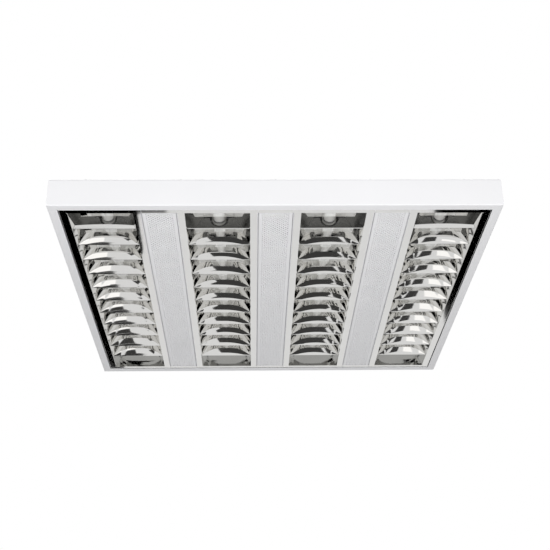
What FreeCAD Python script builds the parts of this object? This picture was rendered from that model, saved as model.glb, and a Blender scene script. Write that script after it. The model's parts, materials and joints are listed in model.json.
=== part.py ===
import FreeCAD, Part
import math
import os

# Recessed square louvre luminaire for four slim tubes.
# Millimetres. +X right, +Y away from the viewer, +Z up into the ceiling void.
# The origin is the centre of the visible bottom face of the white rim.

Vector = FreeCAD.Vector
UP = Vector(0, 0, 1)
ALONG_X = Vector(1, 0, 0)
ALONG_Y = Vector(0, 1, 0)
ORIGIN = Vector(0, 0, 0)

# --- driving dimensions -------------------------------------------------------------------

module_side = 597.0            # outer side of the square rim
rim_height = 39.0              # height of the rim's outer wall
rim_lip = 12.5                 # width of the rim's bottom face and of its top return
rim_sheet = 0.8
rim_bend = 0.7                 # inside radius of the rim's folds

pan_sheet = 0.7
pan_setback = 1.0              # from the rim's outer face to the pan's flange
pan_flange = 5.0               # width of the pan's flange on the rim
pan_slope_run = 14.0           # horizontal run of the pan's sloping sides
pan_rise = 11.0                # height of the flat roof above the rim
sheet_bend = 0.6               # inside radius of folds in the thin sheets
tight_bend = 0.4               # inside radius of folds in the small brackets

strip_count = 4
blade_count = 11               # cross blades in one strip
blade_bottom = 3.0             # height of a blade's lower edge
blade_half_top = 4.8           # half the width of a blade's open top
blade_nose = 0.35              # half the width of a blade's lower edge
blade_facet_height = 3.5       # slanted facet along a blade's lower edge
blade_facet_spread = 2.1       # how far that facet leans out
blade_belt_height = 4.2        # steeper belt above the facet
blade_belt_spread = 1.6
blade_sheet = 0.5
end_plate_reach = 10.73        # how far the top of an end plate leans over its strip

cassette_sheet = 0.6
cassette_base = 1.0            # height of the cassette's visible flanges
end_rail_width = 9.02          # flange across the ends of the strips
side_rail_width = 10.85        # flange outside the outermost strips
bar_width = 9.4                # flange beside each strip
rail_upstand = 14.0
panel_overlap = 7.0            # how far an infill panel lies over the bars
panel_end_margin = 2.0         # from a panel's end to the cassette's edge
panel_sheet = 0.6

lamp_radius = 8.0
lamp_wall = 0.9
lamp_end_inset = 24.0          # from the rim's outer face to a tube's end
cap_length = 9.0
cap_wall = 0.4
cap_rounding = 0.8
pin_radius = 1.18
pin_spacing = 4.75
pin_length = 7.1
pin_chamfer = 0.4

mirror_sheet = 0.5
reflector_web = 9.0            # height of the stiffening fold of a top reflector
notch_radius = 15.0            # opening in an end plate round the tube
post_radius = 2.0
post_head_radius = 3.4
post_head_height = 1.2
post_edge_inset = 8.0          # from a reflector's edge to its posts
post_end_inset = 33.0          # from a reflector's end to its posts

holder_width = 20.0
holder_depth = 11.0
holder_drop = 11.0             # from the tube's axis down to the holder's lower end
holder_crown = 0.5             # holder above the tube's top
holder_rounding = 3.0
rotor_radius = 5.0
rotor_depth = 4.0
holder_rail_width = 11.6       # lower leg of the holder rail
holder_rail_top_width = 3.6    # its upper leg, under the roof

hinge_inset = 6.5              # from the cassette's back edge to the hinge's axis
hinge_height = 6.0
hinge_pin_radius = 1.5
hinge_pin_head = 2.6
hinge_pin_head_height = 1.2
hinge_plate_width = 12.0
hinge_plate_foot = 4.2         # plate below the hinge's axis
hinge_plate_rise = 14.0        # plate above the hinge's axis
hinge_plate_grip = 13.0        # height of the leg on the rim's wall
spring_clip_x = 150.0
spring_clip_width = 12.0
spring_nose = 4.0              # from the grip down to, or up to, the rail's upper edge
spring_tail = 6.0
spring_opening = 2.0
spring_shoulder = 2.5
spring_grip = 14.0             # height of the leg on the rim's wall

cover_half_x = 90.0
cover_end_inset = 83.5         # from the rim's outer face to the gear cover's end wall
cover_height = 26.0
cover_sheet = 0.8
cover_flange = 12.0
cover_screw_inset = 25.0
cover_screw_radius = 1.9
cover_screw_head = 3.6
cover_screw_head_height = 2.4
cover_screw_length = 5.0

ballast_x = 52.0
ballast_width = 30.0
ballast_end_room = 70.0        # cover's length that the ballasts leave free for wiring
ballast_headroom = 4.2         # between a ballast's top and the cover
ballast_shift_y = -12.0
ballast_foot = 9.0             # length of the screwed foot at each end
ballast_foot_sheet = 1.2
ballast_case_sheet = 1.0
ballast_rounding = 1.5
ballast_screw_head = 3.2
ballast_screw_head_height = 2.0
ballast_screw_length = 4.0

terminal_size = (34.0, 20.0, 16.0)
terminal_inset = 29.0          # from the cover's end wall to the terminal block's middle
terminal_poles = 3
terminal_chamfer = 2.0
terminal_mouth_radius = 1.6
terminal_mouth_depth = 7.0
terminal_mouth_height = 5.0
terminal_slot = (4.0, 2.0, 4.0)
earth_x = 30.0
earth_inset = 21.0
earth_radius = 2.0
earth_height = 12.0
earth_nut_radius = 4.0
earth_nut_height = 3.2

entry_plate_width = 52.0
entry_plate_sheet = 1.0
entry_plate_margin = 2.0       # cover's wall above and below the plate
entry_window_width = 40.0
entry_hook_sheet = 1.6
entry_hook_reach = 3.0
entry_hook_height = 8.0
cable_radius = 4.5
grommet_wall = 1.5
grommet_inner_lip = 0.85
grommet_outer_lip = 2.5
grommet_nose_lip = 0.5
grommet_length = 9.0

hanging_half_x = 135.0         # suspension holes in the roof
hanging_inset = 78.5
hanging_hole_radius = 3.25

bracket_inset_x = 36.5         # from the rim's outer face to the ceiling brackets' pivots
bracket_inset_y = 83.5
bracket_length = 92.0
bracket_width = 14.0
bracket_sheet = 1.5
bracket_tab = 6.0
pivot_radius = 2.5
pivot_head_radius = 5.0
pivot_head_height = 2.5
pivot_foot_radius = 4.0
pivot_foot_height = 1.0

rivet_radius = 1.3
rivet_head = 2.1
rivet_head_height = 0.9
rivets_per_side = 5
rivet_corner_inset = 48.5      # from the rim's corner to the first rivet

wire_radius = 1.2
wire_bend = 6.0
lamp_wire_bend = 3.0
wire_hole_radius = 4.0
wire_drop = 12.0               # from a ballast's end to its wire hole
gear_wire_height = 9.0         # lamp wires above the roof at the ballasts
mains_wire_run = 20.0          # mains wires from the terminal block to their first bend
mains_wire_step = 20.0         # the middle pole's wire runs this much further

# --- clearances ---------------------------------------------------------------------------

cassette_gap = 0.5             # between the cassette and the rim's lip
fit_gap = 0.15                 # between parts that slide into each other in assembly
running_gap = 0.05             # radial play of a pin in its hole
turning_gap = 0.1              # radial play of a lampholder's rotor
seat_gap = 0.3                 # between a moving piece and what it lies beside
mirror_gap = 0.6               # between the side reflectors and the top reflector
lamp_mirror_gap = 2.68         # between a tube and the mirror above it
lamp_blade_gap = 5.5           # between a tube and the blades below it
wire_mirror_gap = 0.52         # between the lamp wires and the mirror below them
wire_roof_gap = 1.2            # between the lamp wires and the roof above them
hinge_plate_gap = 2.5          # between the cassette and the hinge plates
pin_end_gap = 1.0              # behind the pins in a lampholder
overcut = 1.0                  # cutting tools run this much past a face

# --- sizes that follow --------------------------------------------------------------------

half_side = module_side / 2
roof_height = rim_height + pan_rise
roof_under = roof_height - pan_sheet
wire_level = roof_under - wire_roof_gap - wire_radius
mirror_vertex = wire_level - wire_radius - wire_mirror_gap - mirror_sheet
reflector_focus = lamp_radius + lamp_mirror_gap
lamp_axis_height = mirror_vertex - reflector_focus
wall_top = lamp_axis_height
blade_top = lamp_axis_height - lamp_radius - lamp_blade_gap
trough_foot = wall_top + mirror_gap
cap_radius = lamp_radius + cap_wall

cassette_half = half_side - rim_lip - cassette_gap
cassette_top = cassette_base + cassette_sheet
rail_top = cassette_base + rail_upstand
opening_half = cassette_half - end_rail_width
blade_pitch = 2 * opening_half / (blade_count + 1)
strip_half_width = math.sqrt(4 * reflector_focus * (mirror_vertex - cassette_base))
strip_pitch = 2 * (cassette_half - side_rail_width - strip_half_width) / (strip_count - 1)
strip_centres = [(i - (strip_count - 1) / 2) * strip_pitch for i in range(strip_count)]
panel_half = strip_pitch / 2 - strip_half_width - bar_width + panel_overlap

lamp_length = module_side - 2 * lamp_end_inset
holder_face = lamp_length / 2 + seat_gap
holder_back = holder_face + holder_depth
holder_top = lamp_axis_height + lamp_radius + holder_crown
holder_bottom = lamp_axis_height - holder_drop
wire_drop_y = holder_face + holder_depth / 2
reflector_half_length = holder_face - cassette_sheet - 4 * seat_gap
post_y = reflector_half_length - post_end_inset

hinge_y = cassette_half - hinge_inset
hinge_plate_x = cassette_half + hinge_plate_gap
cover_half_y = half_side - cover_end_inset
ballast_length = 2 * cover_half_y - ballast_end_room
ballast_height = cover_height - cover_sheet - ballast_headroom
ballast_body_half = ballast_length / 2 - ballast_foot
terminal_y = cover_half_y - terminal_inset
earth_y = cover_half_y - earth_inset
entry_height = roof_height + cover_height / 2
grommet_groove_radius = cable_radius + grommet_wall
entry_window_height = 2 * (grommet_groove_radius + grommet_inner_lip + fit_gap)
hanging_half_y = half_side - hanging_inset
bracket_x = half_side - bracket_inset_x
bracket_y = half_side - bracket_inset_y


# --- drawing helpers ----------------------------------------------------------------------

def in_xz(a, b):
    return Vector(a, 0, b)


def in_yz(a, b):
    return Vector(0, a, b)


def outline_face(corners, plane):
    """Flat face inside corners given as (a, b, fillet radius)."""
    count = len(corners)
    fillets = []
    for i in range(count):
        here = Vector(corners[i][0], corners[i][1], 0)
        radius = corners[i][2]
        if radius == 0:
            fillets.append((here, None, here))
            continue
        before = Vector(corners[i - 1][0], corners[i - 1][1], 0) - here
        after = Vector(corners[(i + 1) % count][0], corners[(i + 1) % count][1], 0) - here
        before.normalize()
        after.normalize()
        half_angle = before.getAngle(after) / 2
        reach = radius / math.tan(half_angle)
        inward = before + after
        inward.normalize()
        middle = here + inward * (radius / math.sin(half_angle) - radius)
        fillets.append((here + before * reach, middle, here + after * reach))
    edges = []
    for i in range(count):
        start, middle, end = fillets[i]
        following = fillets[(i + 1) % count][0]
        if middle is not None:
            arc = Part.Arc(plane(start.x, start.y), plane(middle.x, middle.y), plane(end.x, end.y))
            edges.append(arc.toShape())
        if end.distanceToPoint(following) > 1e-6:
            line = Part.LineSegment(plane(end.x, end.y), plane(following.x, following.y))
            edges.append(line.toShape())
    return Part.Face(Part.Wire(edges))


def left_of(start, end):
    """Unit vector to the left of the way from start to end."""
    way = Vector(end[0] - start[0], end[1] - start[1], 0)
    way.normalize()
    return Vector(-way.y, way.x, 0)


def bent_face(path, thickness, bend, plane):
    """Section of a folded sheet that lies to the left of path, with bend as inside radius."""
    near = []
    far = []
    for i in range(len(path)):
        point = Vector(path[i][0], path[i][1], 0)
        before = left_of(path[max(i - 1, 0)], path[max(i, 1)])
        after = left_of(path[min(i, len(path) - 2)], path[min(i + 1, len(path) - 1)])
        offset = point + (before + after) * (thickness / (1 + before.dot(after)))
        turn = before.cross(after).z
        if turn > 0:
            near_radius, far_radius = bend + thickness, bend
        elif turn < 0:
            near_radius, far_radius = bend, bend + thickness
        else:
            near_radius, far_radius = 0, 0
        near.append((point.x, point.y, near_radius))
        far.append((offset.x, offset.y, far_radius))
    return outline_face(near + far[::-1], plane)


def box(x0, x1, y0, y1, z0, z1):
    return Part.makeBox(x1 - x0, y1 - y0, z1 - z0, Vector(x0, y0, z0))


def cylinder(radius, start, end):
    """Round bar from start to end."""
    return Part.makeCylinder(radius, end.distanceToPoint(start), start, end - start)


def moved(shape, x, y, z):
    copy = shape.copy()
    copy.translate(Vector(x, y, z))
    return copy


def mirrored_x(shape):
    return shape.mirror(ORIGIN, ALONG_X)


def mirrored_y(shape):
    return shape.mirror(ORIGIN, ALONG_Y)


def extruded_x(face, half_length):
    return moved(face, -half_length, 0, 0).extrude(ALONG_X * (2 * half_length))


def extruded_y(face, half_length):
    return moved(face, 0, -half_length, 0).extrude(ALONG_Y * (2 * half_length))


def prism(points, z0, z1):
    """Upright block with a straight-sided plan."""
    corners = [Vector(x, y, z0) for x, y in points]
    return Part.Face(Part.makePolygon(corners + corners[:1])).extrude(UP * (z1 - z0))


def front_side(path, thickness, bend, half_x, half_y):
    """Front member of a rectangular frame, mitred at both ends.

    path runs over (distance in from the outer face, height)."""
    placed = [(u - half_y, z) for u, z in path]
    bar = extruded_x(bent_face(placed, thickness, bend, in_yz), half_x)
    reach = min(half_x, half_y)
    plan = [(-half_x, -half_y), (half_x, -half_y)]
    plan += [(half_x - reach, reach - half_y), (reach - half_x, reach - half_y)]
    if reach == half_x:
        plan = plan[:3]
    return bar.common(prism(plan, -roof_height, 3 * roof_height))


def left_side(path, thickness, bend, half_x, half_y):
    """Left member of the same frame."""
    turned = front_side(path, thickness, bend, half_y, half_x)
    turned.rotate(ORIGIN, UP, -90)
    return turned


def frame_sides(path, thickness, bend, half_x, half_y):
    """Front, back, left and right members of a rectangular frame."""
    front = front_side(path, thickness, bend, half_x, half_y)
    left = left_side(path, thickness, bend, half_x, half_y)
    return [front, mirrored_y(front), left, mirrored_x(left)]


def mirror_point(x):
    """Point of the parabolic mirror section, x from the strip's centre line."""
    return Vector(x, mirror_vertex - x * x / (4 * reflector_focus), 0)


def mirror_normal(x):
    """Unit normal there, pointing away from the tube."""
    normal = Vector(x / (2 * reflector_focus), 1, 0)
    normal.normalize()
    return normal


def mirror_half_width(height):
    return math.sqrt(4 * reflector_focus * (mirror_vertex - height))


def mirror_poles(x0, x1, offset):
    """Three poles of the parabola arc from x0 to x1, moved out by offset."""
    steepness = -x0 / (2 * reflector_focus)
    middle_x = (x0 + x1) / 2
    middle = Vector(middle_x, mirror_point(x0).y + steepness * (middle_x - x0), 0)
    n0 = mirror_normal(x0)
    n1 = mirror_normal(x1)
    start = mirror_point(x0) + n0 * offset
    end = mirror_point(x1) + n1 * offset
    return [start, middle + (n0 + n1) * (offset / (1 + n0.dot(n1))), end]


def curve_edge(poles, plane):
    curve = Part.BezierCurve()
    curve.setPoles([plane(p.x, p.y) for p in poles])
    return curve.toShape()


def mirror_sheet_face(x0, x1):
    """Section of a parabolic mirror sheet between x0 and x1."""
    inner = mirror_poles(x0, x1, 0)
    outer = mirror_poles(x0, x1, mirror_sheet)
    edges = [curve_edge(inner, in_xz)]
    edges.append(Part.makeLine(in_xz(inner[2].x, inner[2].y), in_xz(outer[2].x, outer[2].y)))
    edges.append(curve_edge(outer, in_xz))
    edges.append(Part.makeLine(in_xz(outer[0].x, outer[0].y), in_xz(inner[0].x, inner[0].y)))
    return Part.Face(Part.Wire(Part.__sortEdges__(edges)))


def strip_space(z0, z1, gap):
    """The space between a strip's two mirrors, drawn in by gap."""
    x0 = mirror_half_width(z0)
    x1 = mirror_half_width(z1)
    poles = mirror_poles(x0, x1, -gap)
    left = [Vector(-p.x, p.y, 0) for p in poles]
    edges = [curve_edge(poles, in_xz), curve_edge(left, in_xz)]
    edges.append(Part.makeLine(in_xz(poles[2].x, poles[2].y), in_xz(left[2].x, left[2].y)))
    edges.append(Part.makeLine(in_xz(left[0].x, left[0].y), in_xz(poles[0].x, poles[0].y)))
    return extruded_y(Part.Face(Part.Wire(Part.__sortEdges__(edges))), half_side)


def wire(points, radius, bend):
    """Round wire along straight runs joined by tangent arcs."""
    edges = []
    start = points[0]
    for i in range(1, len(points) - 1):
        back = points[i - 1] - points[i]
        on = points[i + 1] - points[i]
        back.normalize()
        on.normalize()
        half_angle = back.getAngle(on) / 2
        reach = bend / math.tan(half_angle)
        inward = back + on
        inward.normalize()
        middle = points[i] + inward * (bend / math.sin(half_angle) - bend)
        edges.append(Part.makeLine(start, points[i] + back * reach))
        start = points[i] + on * reach
        edges.append(Part.Arc(points[i] + back * reach, middle, start).toShape())
    edges.append(Part.makeLine(start, points[-1]))
    path = Part.Wire(edges)
    circle = Part.makeCircle(radius, points[0], points[1] - points[0])
    return path.makePipeShell([Part.Wire(circle)], True, False)


def pan_head_screw(shank_radius, head_radius, head_height, length, x, y, z):
    """Screw pointing down, its head resting at height z, with a cross slot."""
    head = Part.makeCylinder(head_radius, head_height, Vector(x, y, z))
    head = head.makeFillet(head_height / 3, [head.Edges[0]])
    shank = Part.makeCylinder(shank_radius, length, Vector(x, y, z - length))
    slot_half = head_radius * 0.62
    slot_z = z + head_height / 2
    slot = box(x - slot_half, x + slot_half, y - 0.4, y + 0.4, slot_z, z + head_height)
    cross = box(x - 0.4, x + 0.4, y - slot_half, y + slot_half, slot_z, z + head_height)
    return head.fuse(shank).cut(slot).cut(cross)


# --- rim and pan --------------------------------------------------------------------------

def rim_members():
    path = [(rim_lip, rim_height), (0, rim_height), (0, 0), (rim_lip, 0)]
    front, back, left, right = frame_sides(path, rim_sheet, rim_bend, half_side, half_side)
    holes = Part.makeCompound([rivet_hole(x, y) for x, y in rivet_places()])
    return [front.cut(holes), back.cut(holes), left.cut(holes), right.cut(holes)]


def rivet_places():
    """Rivets that join the pan's flange to the rim's top return, round all four sides."""
    inset = half_side - pan_setback - pan_flange / 2
    span = module_side - 2 * rivet_corner_inset
    step = span / (rivets_per_side - 1)
    places = []
    for i in range(rivets_per_side):
        along = i * step - span / 2
        places += [(along, -inset), (along, inset), (-inset, along), (inset, along)]
    return places


def rivet_hole(x, y):
    low = rim_height - rim_sheet - overcut
    return cylinder(rivet_radius, Vector(x, y, low), Vector(x, y, rim_height + pan_sheet + overcut))


def body_rivets():
    bottom = rim_height - rim_sheet
    top = rim_height + pan_sheet
    rivets = []
    for x, y in rivet_places():
        shank = cylinder(rivet_radius, Vector(x, y, bottom), Vector(x, y, top))
        lower = Part.makeCylinder(rivet_head, rivet_head_height, Vector(x, y, bottom - rivet_head_height))
        upper = Part.makeCylinder(rivet_head, rivet_head_height, Vector(x, y, top))
        upper = upper.makeFillet(rivet_head_height / 2, [upper.Edges[0]])
        rivets.append(shank.fuse([lower, upper]))
    return rivets


def body_pan():
    slope_start = pan_setback + pan_flange
    path = [(pan_setback, rim_height), (slope_start, rim_height)]
    path += [(slope_start + pan_slope_run, roof_under), (half_side, roof_under)]
    sides = frame_sides(path, pan_sheet, sheet_bend, half_side, half_side)
    pan = sides[0].fuse(sides[1:]).removeSplitter()
    holes = [rivet_hole(x, y) for x, y in rivet_places()]
    for x, y in hanging_places():
        holes.append(roof_hole(hanging_hole_radius, x, y))
    for x, y in bracket_places():
        holes.append(roof_hole(pivot_radius, x, y))
    for x, y in cover_screw_places():
        holes.append(roof_hole(cover_screw_radius, x, y))
    for x, y in post_places():
        holes.append(roof_hole(post_radius, x, y))
    for x, y in ballast_screw_places():
        holes.append(roof_hole(cover_screw_radius, x, y))
    for x in ballast_places_x():
        for end in (-1, 1):
            holes.append(roof_hole(wire_hole_radius, x, wire_hole_y(end)))
    holes.append(roof_hole(earth_radius, earth_x, earth_y))
    return pan.cut(Part.makeCompound(holes))


def roof_hole(radius, x, y):
    return cylinder(radius, Vector(x, y, roof_under - overcut), Vector(x, y, roof_height + overcut))


def hanging_places():
    return [(sx * hanging_half_x, sy * hanging_half_y) for sx in (-1, 1) for sy in (-1, 1)]


# --- swing-out ceiling brackets -----------------------------------------------------------

def bracket_places():
    return [(sx * bracket_x, sy * bracket_y) for sx in (-1, 1) for sy in (-1, 1)]


def ceiling_bracket(x, y):
    """Strap parked along the roof, pointing from its pivot to the middle of the side."""
    way = -1 if y > 0 else 1
    bottom = roof_height + seat_gap
    top = bottom + bracket_sheet
    half = bracket_width / 2
    far = y + way * bracket_length
    strap = box(x - half, x + half, min(y, far), max(y, far), bottom, top)
    eye = cylinder(half, Vector(x, y, bottom), Vector(x, y, top))
    tab_inner = far - way * bracket_sheet
    tab = box(x - half, x + half, min(far, tab_inner), max(far, tab_inner), bottom, top + bracket_tab)
    hole = cylinder(pivot_radius + running_gap, Vector(x, y, bottom - overcut),
                    Vector(x, y, top + overcut))
    return strap.fuse([eye, tab]).removeSplitter().cut(hole)


def bracket_pivots():
    """Shouldered rivets: a spacer below each strap and a wide head above it."""
    strap_top = roof_height + seat_gap + bracket_sheet
    pivots = []
    for x, y in bracket_places():
        shank = cylinder(pivot_radius, Vector(x, y, roof_under), Vector(x, y, strap_top + seat_gap))
        head_base = Vector(x, y, strap_top + seat_gap)
        head = Part.makeCylinder(pivot_head_radius, pivot_head_height, head_base)
        head = head.makeFillet(pivot_head_height / 2, [head.Edges[0]])
        foot_base = Vector(x, y, roof_under - pivot_foot_height)
        foot = Part.makeCylinder(pivot_foot_radius, pivot_foot_height, foot_base)
        pivots.append(shank.fuse([head, foot]))
    return pivots


# --- control gear on the roof -------------------------------------------------------------

def cover_screw_places():
    inset = cover_flange / 2
    side_x = cover_half_x + inset
    side_y = cover_half_y - cover_screw_inset
    return [(sx * side_x, sy * side_y) for sx in (-1, 1) for sy in (-1, 0, 1)]


def gear_cover():
    outer_x = cover_half_x + cover_flange
    outer_y = cover_half_y + cover_flange
    top = roof_height + cover_height
    wall_inside = cover_flange + cover_sheet
    path = [(0, roof_height), (wall_inside, roof_height)]
    path += [(wall_inside, top - cover_sheet), (outer_x, top - cover_sheet)]
    sides = frame_sides(path, cover_sheet, sheet_bend, outer_x, outer_y)
    cover = sides[0].fuse(sides[1:]).removeSplitter()
    holes = []
    for x, y in cover_screw_places():
        low = Vector(x, y, roof_height - overcut)
        high = Vector(x, y, roof_height + cover_sheet + overcut)
        holes.append(cylinder(cover_screw_radius + turning_gap, low, high))
    window_x = entry_window_width / 2
    window_z = entry_window_height / 2
    inside = cover_half_y - cover_sheet - overcut
    holes.append(box(-window_x, window_x, inside, cover_half_y + overcut,
                     entry_height - window_z, entry_height + window_z))
    return cover.cut(Part.makeCompound(holes))


def gear_cover_screws():
    z = roof_height + cover_sheet
    return [pan_head_screw(cover_screw_radius, cover_screw_head, cover_screw_head_height,
                           cover_screw_length, x, y, z) for x, y in cover_screw_places()]


def cable_entry_plate():
    half_x = entry_plate_width / 2
    half_z = cover_height / 2 - entry_plate_margin
    y0 = cover_half_y
    y1 = y0 + entry_plate_sheet
    plate = box(-half_x, half_x, y0, y1, entry_height - half_z, entry_height + half_z)
    hook_half = entry_hook_height / 2
    for sx in (-1, 1):
        outer = sx * (entry_window_width / 2 - fit_gap)
        inner = outer - sx * entry_hook_sheet
        hook = box(min(outer, inner), max(outer, inner), y0 - entry_hook_reach, y0,
                   entry_height - hook_half, entry_height + hook_half)
        plate = plate.fuse(hook)
    return plate.cut(cylinder(grommet_groove_radius, Vector(0, y0 - overcut, entry_height),
                              Vector(0, y1 + overcut, entry_height)))


def cable_grommet():
    start = Vector(0, cover_half_y + (entry_plate_sheet - grommet_length) / 2, entry_height)
    body = Part.makeCylinder(grommet_groove_radius, grommet_length, start, ALONG_Y)
    flange_depth = (grommet_length - entry_plate_sheet) / 2
    inner = Part.makeCylinder(grommet_groove_radius + grommet_inner_lip, flange_depth, start, ALONG_Y)
    outer_start = start + ALONG_Y * (flange_depth + entry_plate_sheet)
    outer = Part.makeCone(grommet_groove_radius + grommet_outer_lip,
                          grommet_groove_radius + grommet_nose_lip, flange_depth, outer_start, ALONG_Y)
    bore = Part.makeCylinder(cable_radius, grommet_length + 2 * overcut,
                             start - ALONG_Y * overcut, ALONG_Y)
    return body.fuse([inner, outer]).cut(bore)


def ballast_places_x():
    return [-ballast_x, ballast_x]


def ballast(x):
    half_x = ballast_width / 2
    half_y = ballast_length / 2
    top = roof_height + ballast_height
    y = ballast_shift_y
    case = box(x - half_x, x + half_x, y - ballast_body_half, y + ballast_body_half, roof_height, top)
    upper = [e for e in case.Edges if abs(e.CenterOfMass.z - top) < 1e-6]
    case = case.makeFillet(ballast_rounding, upper)
    foot = box(x - half_x, x + half_x, y - half_y, y + half_y,
               roof_height, roof_height + ballast_foot_sheet)
    inside_x = half_x - ballast_case_sheet
    inside_y = ballast_body_half - ballast_case_sheet
    hollow = box(x - inside_x, x + inside_x, y - inside_y, y + inside_y,
                 roof_height, top - ballast_case_sheet)
    shape = case.fuse(foot).removeSplitter().cut(hollow)
    for sy in (-1, 1):
        low = Vector(x, y + sy * (half_y - ballast_foot / 2), roof_height - overcut)
        high = low + UP * (ballast_foot_sheet + 2 * overcut)
        shape = shape.cut(cylinder(cover_screw_radius, low, high))
    return shape


def ballast_screw_places():
    reach = (ballast_length - ballast_foot) / 2
    return [(x, ballast_shift_y + sy * reach) for x in ballast_places_x() for sy in (-1, 1)]


def ballast_screws():
    z = roof_height + ballast_foot_sheet
    return [pan_head_screw(cover_screw_radius, ballast_screw_head, ballast_screw_head_height,
                           ballast_screw_length, x, y, z) for x, y in ballast_screw_places()]


def terminal_block():
    half_x = terminal_size[0] / 2
    half_y = terminal_size[1] / 2
    top = roof_height + terminal_size[2]
    block = box(-half_x, half_x, terminal_y - half_y, terminal_y + half_y, roof_height, top)
    upper = [e for e in block.Edges if abs(e.CenterOfMass.z - top) < 1e-6]
    block = block.makeChamfer(terminal_chamfer, upper)
    slot_x = terminal_slot[0] / 2
    slot_half = terminal_slot[1] / 2
    cuts = []
    for x in terminal_pole_places():
        for sy in (-1, 1):
            face = Vector(x, terminal_y + sy * half_y, roof_height + terminal_mouth_height)
            deep = face - ALONG_Y * (sy * terminal_mouth_depth)
            cuts.append(cylinder(terminal_mouth_radius, face + ALONG_Y * (sy * overcut), deep))
            slot_y = terminal_y + sy * half_y / 2
            cuts.append(box(x - slot_x, x + slot_x, slot_y - slot_half, slot_y + slot_half,
                            top - terminal_slot[2], top + overcut))
    return block.cut(Part.makeCompound(cuts))


def terminal_pole_places():
    step = terminal_size[0] / terminal_poles
    return [(i - (terminal_poles - 1) / 2) * step for i in range(terminal_poles)]


def earth_terminal():
    """Brass stud through the roof with its nut."""
    stud = cylinder(earth_radius, Vector(earth_x, earth_y, roof_under),
                    Vector(earth_x, earth_y, roof_height + earth_height))
    corners = []
    for i in range(6):
        turn = math.radians(60 * i)
        corners.append((earth_x + earth_nut_radius * math.cos(turn),
                        earth_y + earth_nut_radius * math.sin(turn)))
    nut = prism(corners, roof_height, roof_height + earth_nut_height)
    return [stud, nut.cut(stud)]


def wire_hole_y(end):
    return ballast_shift_y + end * (ballast_length / 2 + wire_drop)


def mains_wiring():
    """Wires from the terminal block: one to the left ballast, the others to the right one."""
    wires = []
    block_face = terminal_y - terminal_size[1] / 2
    level = roof_height + terminal_mouth_height
    for index, x in enumerate(terminal_pole_places()):
        side = -1 if index == 0 else 1
        run = mains_wire_run + (mains_wire_step if index == 1 else 0)
        start = Vector(x, block_face, level)
        turn = Vector(x, block_face - run, level)
        end = Vector(side * (ballast_x - ballast_width / 2), block_face - run, level)
        wires.append(wire([start, turn, end], wire_radius, wire_bend))
    return wires


# --- top reflectors over the tubes --------------------------------------------------------

def reflector_reach(index, side):
    """How far a top reflector runs to one side of its strip's centre line."""
    outermost = index == 0 and side < 0 or index == strip_count - 1 and side > 0
    if outermost:
        pan_inside = half_side - pan_setback - pan_flange - pan_slope_run
        return pan_inside - abs(strip_centres[index]) - seat_gap
    return strip_pitch / 2 - seat_gap


def post_place_x(index, side):
    return strip_centres[index] + side * (reflector_reach(index, side) - post_edge_inset)


def post_places():
    places = []
    for index in range(strip_count):
        for side in (-1, 1):
            places += [(post_place_x(index, side), y) for y in (-post_y, post_y)]
    return places


def top_reflector(index):
    """Parabolic trough over one tube, with flat shoulders and turned-up edges."""
    foot_x = mirror_half_width(trough_foot)
    trough = extruded_y(mirror_sheet_face(-foot_x, foot_x), reflector_half_length)
    shoulders = []
    for side in (-1, 1):
        reach = reflector_reach(index, side)
        path = [(reach, trough_foot + reflector_web), (reach, trough_foot)]
        path.append((foot_x - mirror_sheet / 2, trough_foot))
        face = bent_face(path[::-1], mirror_sheet, sheet_bend, in_xz)
        shoulder = extruded_y(face, reflector_half_length)
        if side < 0:
            shoulder = mirrored_x(shoulder)
        shoulders.append(shoulder)
    shape = moved(trough.fuse(shoulders).removeSplitter(), strip_centres[index], 0, 0)
    holes = []
    for side in (-1, 1):
        for y in (-post_y, post_y):
            low = Vector(post_place_x(index, side), y, trough_foot - overcut)
            holes.append(cylinder(post_radius, low, low + UP * (mirror_sheet + 2 * overcut)))
    return shape.cut(Part.makeCompound(holes))


def reflector_posts():
    """Snap posts that hang the top reflectors from the roof."""
    shoulder_top = trough_foot + mirror_sheet
    posts = []
    for x, y in post_places():
        shank = cylinder(post_radius, Vector(x, y, trough_foot), Vector(x, y, roof_height))
        spacer = cylinder(post_head_radius, Vector(x, y, shoulder_top), Vector(x, y, roof_under))
        below = cylinder(post_head_radius, Vector(x, y, trough_foot - post_head_height),
                         Vector(x, y, trough_foot))
        above = cylinder(post_head_radius, Vector(x, y, roof_height),
                         Vector(x, y, roof_height + post_head_height))
        posts.append(shank.fuse([spacer, below, above]))
    return posts


# --- lampholders and lamps ----------------------------------------------------------------

def holder_rail():
    """Channel under the roof that carries the front row of lampholders."""
    face_y = holder_face - cassette_sheet
    path = [(-(face_y + holder_rail_width), holder_top), (-face_y, holder_top)]
    path += [(-face_y, roof_under), (-(face_y + holder_rail_top_width), roof_under)]
    half_length = strip_centres[-1] + holder_width
    rail = extruded_x(bent_face(path, cassette_sheet, tight_bend, in_yz), half_length)
    hole_radius = wire_radius + turning_gap
    holes = []
    for x in strip_centres:
        outside = Vector(x, -face_y - cassette_sheet - overcut, wire_level)
        holes.append(cylinder(hole_radius, outside, Vector(x, overcut - face_y, wire_level)))
        below = Vector(x, -wire_drop_y, holder_top - overcut)
        holes.append(cylinder(hole_radius, below, below + UP * (cassette_sheet + 2 * overcut)))
    return rail.cut(Part.makeCompound(holes))


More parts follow.
